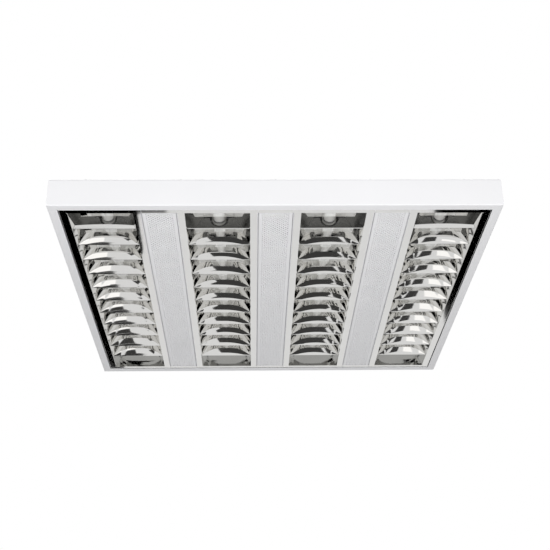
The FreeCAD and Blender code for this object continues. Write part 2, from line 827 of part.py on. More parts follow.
def lampholder(x):
    """Front lampholder, open to the tube's end at its inner face."""
    half = holder_width / 2
    body = box(x - half, x + half, -holder_back, -holder_face, holder_bottom, holder_top)
    edges = [e for e in body.Edges if abs(e.CenterOfMass.z - holder_bottom) < 1e-6]
    sides = [e for e in edges if abs(abs(e.CenterOfMass.x - x) - half) < 1e-6]
    body = body.makeFillet(holder_rounding, sides)
    seat = Vector(x, -holder_face, lamp_axis_height)
    deep = rotor_depth + turning_gap
    recess = Part.makeCylinder(rotor_radius + turning_gap, deep, seat, -ALONG_Y)
    pins_end = pin_length + pin_end_gap
    chamber = Part.makeCylinder(pin_spacing / 2 + pin_radius + seat_gap, pins_end, seat, -ALONG_Y)
    slot_half = pin_radius + seat_gap
    slot = box(x - slot_half, x + slot_half, -holder_face - pins_end, -holder_face,
               holder_bottom, lamp_axis_height)
    return body.cut(recess.fuse([chamber, slot]))


def rotor(x):
    """Turning core of the front lampholder, slotted for the tube's two pins."""
    seat = Vector(x, -holder_face, lamp_axis_height)
    core = Part.makeCylinder(rotor_radius, rotor_depth, seat, -ALONG_Y)
    slot_half = pin_radius + running_gap
    slot = box(x - rotor_radius, x + rotor_radius, -holder_face - rotor_depth, -holder_face,
               lamp_axis_height - slot_half, lamp_axis_height + slot_half)
    web_half = pin_spacing / 2 - pin_radius - running_gap
    web = slot.common(box(x - web_half, x + web_half, -holder_back, -holder_face, 0, half_side))
    return core.cut(slot).fuse(web).removeSplitter()


def lamp_tube(x):
    half = lamp_length / 2 - cap_wall
    start = Vector(x, -half, lamp_axis_height)
    glass = Part.makeCylinder(lamp_radius, 2 * half, start, ALONG_Y)
    return glass.cut(Part.makeCylinder(lamp_radius - lamp_wall, 2 * half, start, ALONG_Y))


def lamp_cap(x):
    """Metal cap on the front end of a tube, with its two pins."""
    end = Vector(x, -lamp_length / 2, lamp_axis_height)
    cap = Part.makeCylinder(cap_radius, cap_length, end, ALONG_Y)
    rims = [e for e in cap.Edges if abs(e.CenterOfMass.y - end.y) < 1e-6 and e.Closed]
    cap = cap.makeFillet(cap_rounding, rims)
    seat = Part.makeCylinder(lamp_radius, cap_length, end + ALONG_Y * cap_wall, ALONG_Y)
    pins = []
    for side in (-1, 1):
        root = end + Vector(side * pin_spacing / 2, cap_wall / 2, 0)
        pin = Part.makeCylinder(pin_radius, pin_length + cap_wall / 2, root, -ALONG_Y)
        tip = [e for e in pin.Edges if abs(e.CenterOfMass.y - (end.y - pin_length)) < 1e-6]
        pins.append(pin.makeChamfer(pin_chamfer, tip))
    return cap.cut(seat).fuse(pins)


def both_ends(shape):
    return [shape, mirrored_y(shape)]


def lamp_wiring():
    """One sheathed pair from each ballast end to each lampholder."""
    wires = []
    spread = wire_radius + seat_gap
    for index in range(strip_count):
        x = strip_centres[index]
        gear_x = ballast_places_x()[0 if index < strip_count / 2 else 1]
        near = 1 if index in (0, strip_count - 1) else -1
        level = roof_height + gear_wire_height - near * spread
        for end in (-1, 1):
            run_y = wire_hole_y(end) - end * near * spread
            points = [Vector(gear_x, ballast_shift_y + end * ballast_body_half, level)]
            points.append(Vector(gear_x, run_y, level))
            points.append(Vector(gear_x, run_y, wire_level))
            points.append(Vector(x, run_y, wire_level))
            points.append(Vector(x, end * wire_drop_y, wire_level))
            points.append(Vector(x, end * wire_drop_y, holder_top))
            wires.append(wire(points, wire_radius, lamp_wire_bend))
    return wires


# --- louvre cassette ----------------------------------------------------------------------

def cassette_rails():
    """Front, back, left and right edge rails of the cassette, mitred at the corners."""
    end_path = [(0, rail_top), (0, cassette_base), (end_rail_width, cassette_base)]
    side_path = [(0, rail_top), (0, cassette_base), (side_rail_width, cassette_base)]
    ends = frame_sides(end_path, cassette_sheet, sheet_bend, cassette_half, cassette_half)
    sides = frame_sides(side_path, cassette_sheet, sheet_bend, cassette_half, cassette_half)
    hole_x = cassette_half + overcut
    holes = cylinder(hinge_pin_radius, Vector(-hole_x, hinge_y, hinge_height),
                     Vector(hole_x, hinge_y, hinge_height))
    return ends[:2], [side.cut(holes) for side in sides[2:]]


def side_reflector(foot_height, flange_width):
    """Right-hand mirror of a strip, centred on x = 0, with its flange turned outward."""
    foot_x = mirror_half_width(foot_height)
    top_x = mirror_half_width(wall_top)
    wall = mirror_sheet_face(foot_x, top_x)
    flange = outline_face([(foot_x, foot_height, 0), (foot_x + flange_width, foot_height, 0),
                           (foot_x + flange_width, foot_height + cassette_sheet, 0),
                           (foot_x, foot_height + cassette_sheet, 0)], in_xz)
    return extruded_y(wall, opening_half).fuse(extruded_y(flange, opening_half)).removeSplitter()


def strip_side_reflectors(index):
    inner = side_reflector(cassette_base, bar_width)
    outer = side_reflector(cassette_top, side_rail_width - 2 * sheet_bend)
    left = outer if index == 0 else inner
    right = outer if index == strip_count - 1 else inner
    x = strip_centres[index]
    return [moved(mirrored_x(left), x, 0, 0), moved(right, x, 0, 0)]


def blade_side(inset):
    """Upper points of a blade's side, from the facet's top edge to the open top."""
    facet_x = blade_nose + blade_facet_spread
    facet_top = blade_bottom + blade_facet_height
    return [(facet_x - inset, facet_top),
            (facet_x + blade_belt_spread - inset, facet_top + blade_belt_height),
            (blade_half_top - inset, blade_top)]


def blade():
    """One V-shaped cross blade, centred on x = 0, y = 0."""
    fold = blade_bottom + 2 * blade_sheet     # the fold's own thickness at the nose
    half = [(blade_nose, blade_bottom)] + blade_side(0) + blade_side(blade_sheet)[::-1]
    corners = half + [(0, fold)] + [(-y, z) for y, z in half[::-1]]
    points = [in_yz(y, z) for y, z in corners]
    bar = extruded_x(Part.Face(Part.makePolygon(points + points[:1])), strip_half_width)
    return bar.common(strip_space(cassette_base, wall_top, fit_gap))


def strip_blades(index, one_blade):
    middle = (blade_count - 1) / 2
    return [moved(one_blade, strip_centres[index], (i - middle) * blade_pitch, 0)
            for i in range(blade_count)]


def end_plate():
    """Front end plate of a strip: upright at its foot, curved at its top, notched round the tube."""
    foot = -opening_half
    middle_z = (cassette_top + wall_top) / 2
    lean_out = Vector(foot + end_plate_reach, wall_top, 0)
    inner = [Vector(foot, cassette_top, 0), Vector(foot, middle_z, 0), lean_out]
    outer = [Vector(p.x - mirror_sheet, p.y, 0) for p in inner]
    edges = [curve_edge(inner, in_yz), curve_edge(outer, in_yz)]
    edges.append(Part.makeLine(in_yz(inner[2].x, wall_top), in_yz(outer[2].x, wall_top)))
    edges.append(Part.makeLine(in_yz(inner[0].x, cassette_top), in_yz(outer[0].x, cassette_top)))
    plate = extruded_x(Part.Face(Part.Wire(Part.__sortEdges__(edges))), strip_half_width)
    plate = plate.common(strip_space(cassette_base, wall_top, fit_gap))
    foot_half = mirror_half_width(cassette_top) - fit_gap
    foot_plate = box(-foot_half, foot_half, panel_end_margin - cassette_half, foot,
                     cassette_top, cassette_top + mirror_sheet)
    notch_start = Vector(0, -half_side, lamp_axis_height)
    notch = Part.makeCylinder(notch_radius, half_side, notch_start, ALONG_Y)
    return plate.fuse(foot_plate).removeSplitter().cut(notch)


def end_plates():
    front = end_plate()
    return [moved(front, x, 0, 0) for x in strip_centres]


def infill_panel(index):
    """Flat panel between two strips, lying on their bars and on the end rails."""
    x = (strip_centres[index] + strip_centres[index + 1]) / 2
    half_y = cassette_half - panel_end_margin
    return box(x - panel_half, x + panel_half, -half_y, half_y,
               cassette_top, cassette_top + panel_sheet)


def hinge_pins():
    """Two headed pins fixed in the side rails of the cassette."""
    pins = []
    inside = cassette_half - cassette_sheet
    outside = hinge_plate_x + cassette_sheet + running_gap + overcut
    for side in (-1, 1):
        start = Vector(side * inside, hinge_y, hinge_height)
        shank = cylinder(hinge_pin_radius, start, Vector(side * outside, hinge_y, hinge_height))
        head_end = Vector(side * (inside - hinge_pin_head_height), hinge_y, hinge_height)
        pins.append(shank.fuse(cylinder(hinge_pin_head, start, head_end)))
    return pins


def hinge_brackets():
    """Folded plates on the rim's side walls that carry the hinge pins."""
    wall_x = half_side - rim_sheet
    plate_x = hinge_plate_x + cassette_sheet
    shoulder = hinge_height + hinge_plate_rise
    path = [(plate_x, hinge_height - hinge_plate_foot), (plate_x, shoulder)]
    path += [(wall_x, shoulder), (wall_x, shoulder + hinge_plate_grip)]
    face = bent_face(path, cassette_sheet, tight_bend, in_xz)
    plate = moved(extruded_y(face, hinge_plate_width / 2), 0, hinge_y, 0)
    hole = cylinder(hinge_pin_radius + running_gap,
                    Vector(hinge_plate_x - overcut, hinge_y, hinge_height),
                    Vector(plate_x + overcut, hinge_y, hinge_height))
    right = plate.cut(hole)
    return [mirrored_x(right), right]


def spring_clips():
    """Leaf springs on the rim's front wall that grip the cassette's front rail."""
    wall_y = half_side - rim_sheet - mirror_sheet
    rail_y = cassette_half + seat_gap
    touch = rail_top - spring_nose
    shoulder = touch + spring_tail
    path = [(-rail_y - spring_opening, touch - spring_tail), (-rail_y, touch)]
    path += [(-rail_y - spring_shoulder, shoulder), (-wall_y, shoulder)]
    path.append((-wall_y, shoulder + spring_grip))
    face = bent_face(path, mirror_sheet, sheet_bend, in_yz)
    spring = extruded_x(face, spring_clip_width / 2)
    return [moved(spring, side * spring_clip_x, 0, 0) for side in (-1, 1)]


# --- all pieces ---------------------------------------------------------------------------

def nodes():
    """Every piece as node name and list of solids."""
    pieces = {}
    rim_front, rim_back, rim_left, rim_right = rim_members()
    pieces["rim_front"] = [rim_front]
    pieces["rim_back"] = [rim_back]
    pieces["rim_left"] = [rim_left]
    pieces["rim_right"] = [rim_right]
    pieces["body_pan"] = [body_pan()]
    pieces["body_rivets"] = body_rivets()
    for number, (x, y) in enumerate(bracket_places(), 1):
        pieces["ceiling_bracket_%d" % number] = [ceiling_bracket(x, y)]
    pieces["bracket_pivots"] = bracket_pivots()
    pieces["hinge_brackets"] = hinge_brackets()
    pieces["louvre_spring_clips"] = spring_clips()
    pieces["gear_cover"] = [gear_cover()]
    pieces["gear_cover_screws"] = gear_cover_screws()
    pieces["cable_entry_plate"] = [cable_entry_plate()]
    pieces["cable_grommet"] = [cable_grommet()]
    for number, x in enumerate(ballast_places_x(), 1):
        pieces["ballast_%d" % number] = [ballast(x)]
    pieces["ballast_screws"] = ballast_screws()
    pieces["terminal_block"] = [terminal_block()]
    pieces["earth_terminal"] = earth_terminal()
    pieces["mains_wiring"] = mains_wiring()
    pieces["lamp_wiring"] = lamp_wiring()
    pieces["reflector_posts"] = reflector_posts()
    pieces["lampholder_rails"] = both_ends(holder_rail())
    front_holders = [lampholder(x) for x in strip_centres]
    pieces["lampholders_front"] = front_holders
    pieces["lampholders_back"] = [mirrored_y(holder) for holder in front_holders]
    for index, x in enumerate(strip_centres):
        number = index + 1
        pieces["top_reflector_%d" % number] = [top_reflector(index)]
        pieces["lamp_tube_%d" % number] = [lamp_tube(x)]
        pieces["lamp_caps_%d" % number] = both_ends(lamp_cap(x))
        pieces["holder_rotors_%d" % number] = both_ends(rotor(x))
    end_rails, side_rails = cassette_rails()
    pieces["louvre_end_rails"] = end_rails
    pieces["louvre_side_rails"] = side_rails
    one_blade = blade()
    for index in range(strip_count):
        pieces["side_reflectors_%d" % (index + 1)] = strip_side_reflectors(index)
        pieces["louvre_blades_%d" % (index + 1)] = strip_blades(index, one_blade)
    front_plates = end_plates()
    pieces["end_plates_front"] = front_plates
    pieces["end_plates_back"] = [mirrored_y(plate) for plate in front_plates]
    for index in range(strip_count - 1):
        pieces["infill_panel_%d" % (index + 1)] = [infill_panel(index)]
    pieces["louvre_hinge_pins"] = hinge_pins()
    return pieces


def main():
    os.makedirs("parts", exist_ok=True)
    for name, solids in nodes().items():
        shape = solids[0] if len(solids) == 1 else Part.makeCompound(solids)
        expected = len(solids)
        print("%-22s solids %d of %d  volume %.0f  valid %s"
              % (name, len(shape.Solids), expected, shape.Volume, shape.isValid()))
        shape.exportStep("parts/%s.step" % name)


main()
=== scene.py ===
import bpy
import json
import math
from mathutils import Matrix, Vector


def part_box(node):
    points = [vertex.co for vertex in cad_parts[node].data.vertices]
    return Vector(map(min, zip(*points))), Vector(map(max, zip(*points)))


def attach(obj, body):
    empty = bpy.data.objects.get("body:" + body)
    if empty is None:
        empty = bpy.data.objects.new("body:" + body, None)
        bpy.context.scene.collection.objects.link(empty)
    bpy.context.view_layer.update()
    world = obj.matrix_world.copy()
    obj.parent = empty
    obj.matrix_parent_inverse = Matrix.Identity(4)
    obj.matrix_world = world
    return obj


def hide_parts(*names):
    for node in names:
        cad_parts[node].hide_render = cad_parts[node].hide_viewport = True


# Looks of the recessed louvre light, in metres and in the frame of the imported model:
# +X right, +Y away from the camera, +Z up, origin at the centre of the rim's bottom face.
# Sizes in capitals are chosen here, and those in small letters come from the frame.

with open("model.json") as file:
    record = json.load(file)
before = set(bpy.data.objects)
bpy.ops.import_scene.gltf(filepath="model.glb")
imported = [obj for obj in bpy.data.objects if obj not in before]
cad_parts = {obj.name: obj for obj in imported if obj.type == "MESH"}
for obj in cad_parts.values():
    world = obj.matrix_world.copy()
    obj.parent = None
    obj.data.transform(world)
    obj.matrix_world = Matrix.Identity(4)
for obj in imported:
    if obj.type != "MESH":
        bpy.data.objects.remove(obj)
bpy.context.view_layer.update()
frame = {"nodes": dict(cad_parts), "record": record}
nodes = frame["nodes"]

MM = 0.001

# --- sizes --------------------------------------------------------------------------------

STRIPS = (1, 2, 3, 4)
PANELS = (1, 2, 3)
BLADES = 11                    # in each strip
MIRROR_SHEET = 0.5 * MM
BLADE_SHEET = 0.5 * MM
CASSETTE_SHEET = 0.6 * MM
FIT_GAP = 0.15 * MM            # beside what stands between a strip's mirrors


def middle_x(name):
    """Where the middle of a node lies along X."""
    low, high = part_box(name)
    return (low.x + high.x) / 2


tube_low, tube_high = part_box("lamp_tube_2")
lamp_axis = (tube_low.z + tube_high.z) / 2
mirror_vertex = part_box("top_reflector_2")[1].z - MIRROR_SHEET
focus = mirror_vertex - lamp_axis
strip_x = {number: middle_x("lamp_tube_%d" % number) for number in STRIPS}
mirror_low, mirror_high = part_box("side_reflectors_2")
opening_half = mirror_high.y
blade_low, blade_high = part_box("louvre_blades_2")
blade_pitch = 2 * opening_half / (BLADES + 1)


def mirror_half_width(height):
    """Half the strip's width between its parabolic mirrors at this height."""
    return math.sqrt(4 * focus * (mirror_vertex - height))


# --- materials ----------------------------------------------------------------------------

def principled(material):
    return material.node_tree.nodes["Principled BSDF"]


def glow(material, colour, strength):
    """Makes the material emit light."""
    shader = principled(material)
    shader.inputs["Emission Color"].default_value = colour + (1.0,)
    shader.inputs["Emission Strength"].default_value = strength


def surface(name, colour, roughness, metallic=0.0, tint=0.03, tint_scale=30.0, spread=0.04,
            bump=0.1, bump_scale=600.0, bump_depth=0.02 * MM, grain=(1.0, 1.0, 1.0), coat=0.0):
    """Principled material whose colour, roughness and relief vary with noise in object space."""
    material = bpy.data.materials.new(name)
    material.use_nodes = True
    tree = material.node_tree
    shader = principled(material)
    shader.inputs["Metallic"].default_value = metallic
    shader.inputs["Coat Weight"].default_value = coat
    shader.inputs["Coat Roughness"].default_value = 0.05
    place = tree.nodes.new("ShaderNodeTexCoord")
    stretch = tree.nodes.new("ShaderNodeMapping")
    stretch.inputs["Scale"].default_value = grain
    tree.links.new(place.outputs["Object"], stretch.inputs["Vector"])
    cloud = tree.nodes.new("ShaderNodeTexNoise")
    cloud.inputs["Scale"].default_value = tint_scale
    cloud.inputs["Detail"].default_value = 4.0
    tree.links.new(stretch.outputs["Vector"], cloud.inputs["Vector"])
    ramp = tree.nodes.new("ShaderNodeValToRGB")
    ramp.color_ramp.elements[0].position = 0.3
    ramp.color_ramp.elements[1].position = 0.7
    ramp.color_ramp.elements[0].color = [c * (1 - tint) for c in colour] + [1.0]
    ramp.color_ramp.elements[1].color = [min(1.0, c * (1 + tint)) for c in colour] + [1.0]
    tree.links.new(cloud.outputs["Fac"], ramp.inputs["Fac"])
    tree.links.new(ramp.outputs["Color"], shader.inputs["Base Color"])
    shine = tree.nodes.new("ShaderNodeMapRange")
    shine.inputs["To Min"].default_value = max(0.0, roughness - spread)
    shine.inputs["To Max"].default_value = min(1.0, roughness + spread)
    tree.links.new(cloud.outputs["Fac"], shine.inputs["Value"])
    tree.links.new(shine.outputs["Result"], shader.inputs["Roughness"])
    fine = tree.nodes.new("ShaderNodeTexNoise")
    fine.inputs["Scale"].default_value = bump_scale
    fine.inputs["Detail"].default_value = 2.0
    tree.links.new(stretch.outputs["Vector"], fine.inputs["Vector"])
    relief = tree.nodes.new("ShaderNodeBump")
    relief.inputs["Strength"].default_value = bump
    relief.inputs["Distance"].default_value = bump_depth
    tree.links.new(fine.outputs["Fac"], relief.inputs["Height"])
    tree.links.new(relief.outputs["Normal"], shader.inputs["Normal"])
    return material


white_paint = surface("white_paint", (0.86, 0.86, 0.875), 0.42, tint=0.012, tint_scale=9.0,
                      bump=0.25, bump_scale=900.0)
mirror_metal = surface("mirror_metal", (0.86, 0.855, 0.84), 0.035, metallic=1.0, tint=0.015,
                       spread=0.015, bump=0.35, bump_scale=28.0, bump_depth=0.03 * MM)
rail_metal = surface("rail_metal", (0.86, 0.855, 0.84), 0.05, metallic=1.0, tint=0.02,
                     spread=0.02, bump=0.04, bump_scale=200.0, grain=(1.0, 0.06, 1.0))
# Painted reflection: the end plates' mirror metal is darkened to match what it reflects, at the
# back and at the front.
grey_painted_reflection_metal = surface("grey_painted_reflection_metal", (0.46, 0.46, 0.45), 0.06, metallic=1.0, tint=0.05, bump=0.15)
dark_painted_reflection_metal = surface("dark_painted_reflection_metal", (0.16, 0.16, 0.155), 0.25, metallic=1.0, tint=0.04, bump=0.1)
panel_paint = surface("panel_paint", (0.87, 0.87, 0.885), 0.5, tint=0.015, tint_scale=12.0,
                      bump=0.2, bump_scale=900.0)
# Painted light: the tube is unlit, yet glows faintly so that it looks brighter.
tube_glass_painted_glow = surface("tube_glass_painted_glow", (0.95, 0.95, 0.93), 0.3, tint=0.01, bump=0.02, coat=1.0)
glow(tube_glass_painted_glow, colour=(1.0, 1.0, 0.98), strength=0.16)
cap_metal = surface("cap_metal", (0.78, 0.78, 0.79), 0.25, metallic=1.0, tint=0.03, bump=0.1)
holder_plastic = surface("holder_plastic", (0.86, 0.86, 0.84), 0.45, tint=0.015, bump=0.15)
zinc_steel = surface("zinc_steel", (0.66, 0.67, 0.68), 0.32, metallic=1.0, tint=0.12,
                     tint_scale=90.0, spread=0.1, bump=0.25, bump_scale=350.0)
spring_steel = surface("spring_steel", (0.45, 0.46, 0.48), 0.3, metallic=1.0, tint=0.06,
                       bump=0.15, grain=(1.0, 8.0, 1.0))
ballast_paint = surface("ballast_paint", (0.82, 0.82, 0.81), 0.4, tint=0.02, bump=0.2)
terminal_plastic = surface("terminal_plastic", (0.80, 0.80, 0.77), 0.4, tint=0.02, bump=0.15)
grommet_rubber = surface("grommet_rubber", (0.03, 0.03, 0.032), 0.62, tint=0.15, bump=0.4)
brass = surface("brass", (0.72, 0.53, 0.25), 0.3, metallic=1.0, tint=0.08, bump=0.15)
wire_pvc = surface("wire_pvc", (0.75, 0.75, 0.74), 0.4, tint=0.03, bump=0.1)

SLOT_LOOKS = {
    "white_steel": white_paint,
    "mirror_aluminium": mirror_metal,
    "perforated_steel": panel_paint,
    "lamp_glass": tube_glass_painted_glow,
    "cap_metal": cap_metal,
    "holder_plastic": holder_plastic,
    "zinc_plate": zinc_steel,
    "spring_steel": spring_steel,
    "gear_case": ballast_paint,
    "terminal_plastic": terminal_plastic,
    "grommet_rubber": grommet_rubber,
    "brass": brass,
    "wire_pvc": wire_pvc,
}
for entry in frame["record"]["subparts"]:
    materials = nodes[entry["node"]].data.materials
    materials.clear()
    materials.append(SLOT_LOOKS[entry["material_slot"]])
for name in ("louvre_end_rails", "louvre_side_rails"):
    nodes[name].data.materials[0] = rail_metal


# --- mesh helpers -------------------------------------------------------------------------

SHARP = math.radians(9)        # edges that turn by more than this stay sharp


def piece(name, verts, faces, material, body, replaced):
    """New object that takes the place of one CAD node, smooth but for its sharp edges."""
    mesh = bpy.data.meshes.new(name)
    mesh.from_pydata(verts, [], faces)
    mesh.validate()
    mesh.update()
    mesh.shade_smooth()
    mesh.set_sharp_from_angle(angle=SHARP)
    mesh.materials.append(material)
    made = bpy.data.objects.new(name, mesh)
    bpy.context.scene.collection.objects.link(made)
    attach(made, body)
    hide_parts(replaced)


def add_prism(verts, faces, outline, y0, y1):
    """Adds a closed section of (x, z) points, pulled from y0 to y1.

    The second half of its points lies opposite the first, and quads between them close its ends."""
    base = len(verts)
    count = len(outline)
    verts.extend((x, y0, z) for x, z in outline)
    verts.extend((x, y1, z) for x, z in outline)
    for i in range(count):
        j = (i + 1) % count
        faces.append((base + i, base + j, base + count + j, base + count + i))
    for i in range(count // 2 - 1):
        a, b, c, d = i, i + 1, count - 2 - i, count - 1 - i
        faces.append((base + a, base + d, base + c, base + b))
        faces.append((base + count + a, base + count + b, base + count + c, base + count + d))


def offset_line(points, thickness):
    """The same open line, moved to its left by thickness."""
    moved = []
    for i in range(len(points)):
        here = Vector(points[i])
        before = Vector(points[max(i - 1, 0)])
        after = Vector(points[min(i + 1, len(points) - 1)])
        ways = [w for w in (here - before, after - here) if w.length > 0]
        normals = [Vector((-w.y, w.x)).normalized() for w in ways]
        total = normals[0] + normals[-1]
        moved.append(here + total * (thickness / (1 + normals[0].dot(normals[-1]))))
    return [(p.x, p.y) for p in moved]


def sheet_outline(points, thickness):
    """Closed section of a bent sheet, from the open line of one of its sides."""
    return list(points) + offset_line(points, thickness)[::-1]


def parabola(z0, z1, count):
    """Points of the right-hand mirror's face from height z0 to height z1, evenly spread in x."""
    x0 = mirror_half_width(z0)
    x1 = mirror_half_width(z1)
    points = []
    for i in range(count + 1):
        x = x0 + (x1 - x0) * i / count
        points.append((x, mirror_vertex - x * x / (4 * focus)))
    return points


def flipped(outline):
    """The outline mirrored left to right, still wound the same way."""
    return [(-x, z) for x, z in outline][::-1]


def shifted(outline, x):
    return [(a + x, z) for a, z in outline]


# --- mirrors beside and over the tubes ----------------------------------------------------

PARABOLA_STEPS = 48
TROUGH_EDGE = 9.0 * MM         # height of the turned-up edges of a mirror over a tube


def side_reflectors(number):
    """Both mirrors of a strip, with the flange beside each."""
    name = "side_reflectors_%d" % number
    low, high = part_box(name)
    x = strip_x[number]
    verts = []
    faces = []
    for side, edge in ((-1, x - low.x), (1, high.x - x)):
        outermost = number == (STRIPS[0] if side < 0 else STRIPS[-1])
        foot = mirror_low.z + (CASSETTE_SHEET if outermost else 0)
        face = [(edge, foot)] + parabola(foot, mirror_high.z, PARABOLA_STEPS)
        outline = sheet_outline(face[::-1], MIRROR_SHEET)
        if side < 0:
            outline = flipped(outline)
        add_prism(verts, faces, shifted(outline, x), -opening_half, opening_half)
    piece("mirror_%s" % name, verts, faces, mirror_metal, "louvre", name)


def top_reflector(number):
    """Trough over one tube, with flat shoulders and turned-up edges."""
    name = "top_reflector_%d" % number
    low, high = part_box(name)
    x = strip_x[number]
    foot = low.z
    edge_top = foot + TROUGH_EDGE
    half = mirror_half_width(foot)
    steps = 2 * PARABOLA_STEPS
    line = [(low.x - x, edge_top), (low.x - x, foot)]
    for i in range(steps + 1):
        a = -half + 2 * half * i / steps
        line.append((a, mirror_vertex - a * a / (4 * focus)))
    line += [(high.x - x, foot), (high.x - x, edge_top)]
    verts = []
    faces = []
    add_prism(verts, faces, shifted(sheet_outline(line, MIRROR_SHEET), x), low.y, high.y)
    piece("mirror_%s" % name, verts, faces, mirror_metal, "housing", name)


# --- blades -------------------------------------------------------------------------------

# Each side of a blade has three zones above its nose, which mirror different things: a slanted
# facet the floor, a curved belt the room in front, and a steep face the inside of its strip.
# The front blade of each strip has a steep face in place of the belt.
# Heights are shares of the blade's own height. A slope is the step sideways for each step up.

BLADE_COLUMNS = 32             # along a blade
FACET_ROWS = 4
BELT_ROWS = 8
FACE_ROWS = 16
BLADE_NOSE = 0.35 * MM         # half the thickness of a blade's lower edge
SOLID_FOOT = 0.09              # below this height a blade isn't hollow
LEAST_HOLLOW = 0.05 * MM       # half the hollow's least width

FACET_TOP = 0.20               # at mid strip
INNER_FRONT_FACET_TOP = 0.03   # on the front blades of the two middle strips
OUTER_FRONT_FACET_TOP = 0.30   # and of the two outer strips
LEAST_FACET = 0.004
FACET_END = 0.76               # where along the half width the facet runs out
FRONT_FACET_END = 2.0          # beyond the blade's end, so that it never does
FACET_SLOPE = 0.60

NEAR_BELT_TOP = 0.54           # at mid strip, on the nearest blades
FAR_BELT_TOP = 0.66            # and on the farthest
OUTER_BELT_RISE = 0.10         # more in the two outer strips
OUTER_BELT_LIMIT = 0.70
LEAST_BELT = 0.03
BELT_SLOPE = 0.44              # at its foot
BELT_SLOPE_TOP = 0.37

FACE_SLOPE = 0.14              # at its foot
FACE_SLOPE_TOP = 0.02
FRONT_SLOPE = 0.09             # the same on a front blade
FRONT_SLOPE_TOP = 0.045

FACET_VARIATION = 0.03         # how much blades differ in the height of the facet,
BELT_VARIATION = 0.015         # in the slope of the belt
TWIST_VARIATION = 0.004        # and in how far they are turned about the upright


def blade_line(across, facet_share, belt_share, front, bend):
    """(half thickness, share of height) up one side of a blade, at one place along it."""
    height = blade_high.z - blade_low.z
    facet_end = FRONT_FACET_END if front else FACET_END
    facet_top = max(LEAST_FACET, facet_share * (1 - (across / facet_end) ** 2))
    belt_top = max(facet_top + LEAST_BELT, belt_share * (1 - across ** 4))
    shares = [facet_top * i / FACET_ROWS for i in range(FACET_ROWS + 1)]
    shares += [facet_top + (belt_top - facet_top) * i / BELT_ROWS
               for i in range(1, BELT_ROWS + 1)]
    shares += [belt_top + (1 - belt_top) * i / FACE_ROWS for i in range(1, FACE_ROWS + 1)]
    lean = BLADE_NOSE
    line = [(lean, 0.0)]
    for i in range(1, len(shares)):
        middle = (shares[i] + shares[i - 1]) / 2
        if middle < facet_top:
            slope = FACET_SLOPE
        elif front:
            slope = FRONT_SLOPE + (FRONT_SLOPE_TOP - FRONT_SLOPE) * middle
        elif middle < belt_top:
            slope = BELT_SLOPE + (BELT_SLOPE_TOP - BELT_SLOPE) * middle / belt_top + bend
        else:
            rise = middle - belt_top
            slope = FACE_SLOPE + (FACE_SLOPE_TOP - FACE_SLOPE) * rise / (1 - belt_top)
        lean += slope * height * (shares[i] - shares[i - 1])
        line.append((lean, shares[i]))
    return line


def add_blade(verts, faces, x, y, shape, twist):
    """One V-shaped blade with an open top. shape is what blade_line takes after its place."""
    base = len(verts)
    for column in range(BLADE_COLUMNS + 1):
        across = -1 + 2 * column / BLADE_COLUMNS
        line = blade_line(across, *shape)
        outer = [(-lean, share) for lean, share in line[::-1]] + line
        inner = []
        for lean, share in outer[::-1]:
            half = max(abs(lean) - BLADE_SHEET, LEAST_HOLLOW)
            inner.append((math.copysign(half, lean), max(share, SOLID_FOOT)))
        section = outer + inner
        for lean, share in section:
            z = blade_low.z + (blade_high.z - blade_low.z) * share
            along = across * (mirror_half_width(z) - FIT_GAP)
            verts.append((x + along, y + lean + along * twist, z))
    count = len(section)
    for column in range(BLADE_COLUMNS):
        a = base + column * count
        for i in range(count):
            j = (i + 1) % count
            faces.append((a + i, a + count + i, a + count + j, a + j))
    for column, order in ((0, 1), (BLADE_COLUMNS, -1)):
        a = base + column * count
        for i in range(count // 2 - 1):
            quad = (a + i, a + i + 1, a + count - 2 - i, a + count - 1 - i)
            faces.append(quad[::order])


def uneven(blade, strip, rate, shift):
    """Number from -1 to 1 that differs from blade to blade and from strip to strip."""
    return math.sin(rate * blade + shift * strip)


def louvre_blades(number):
    """All blades of a strip, no two quite alike."""
    name = "louvre_blades_%d" % number
    outer = number in (STRIPS[0], STRIPS[-1])
    verts = []
    faces = []
    for i in range(BLADES):
        front = i == 0
        if front:
            facet_share = OUTER_FRONT_FACET_TOP if outer else INNER_FRONT_FACET_TOP
        else:
            facet_share = FACET_TOP + FACET_VARIATION * uneven(i, number, 7.3, 2.9)
        belt_share = NEAR_BELT_TOP + (FAR_BELT_TOP - NEAR_BELT_TOP) * i / (BLADES - 1)
        if outer:
            belt_share = min(OUTER_BELT_LIMIT, belt_share + OUTER_BELT_RISE)
        bend = BELT_VARIATION * uneven(i, number, 4.1, 1.7)
        twist = TWIST_VARIATION * uneven(i, number, 5.7, 3.3)
        y = (i - (BLADES - 1) / 2) * blade_pitch
        add_blade(verts, faces, strip_x[number], y, (facet_share, belt_share, front, bend), twist)
    piece("mirror_%s" % name, verts, faces, mirror_metal, "louvre", name)


# --- end plates ---------------------------------------------------------------------------

NOTCH_RADIUS = 13.3 * MM       # of the opening round the tube
PLATE_ROWS = 16
PLATE_COLUMNS = 6              # on each side of the notch
NOTCH_COLUMNS = 24


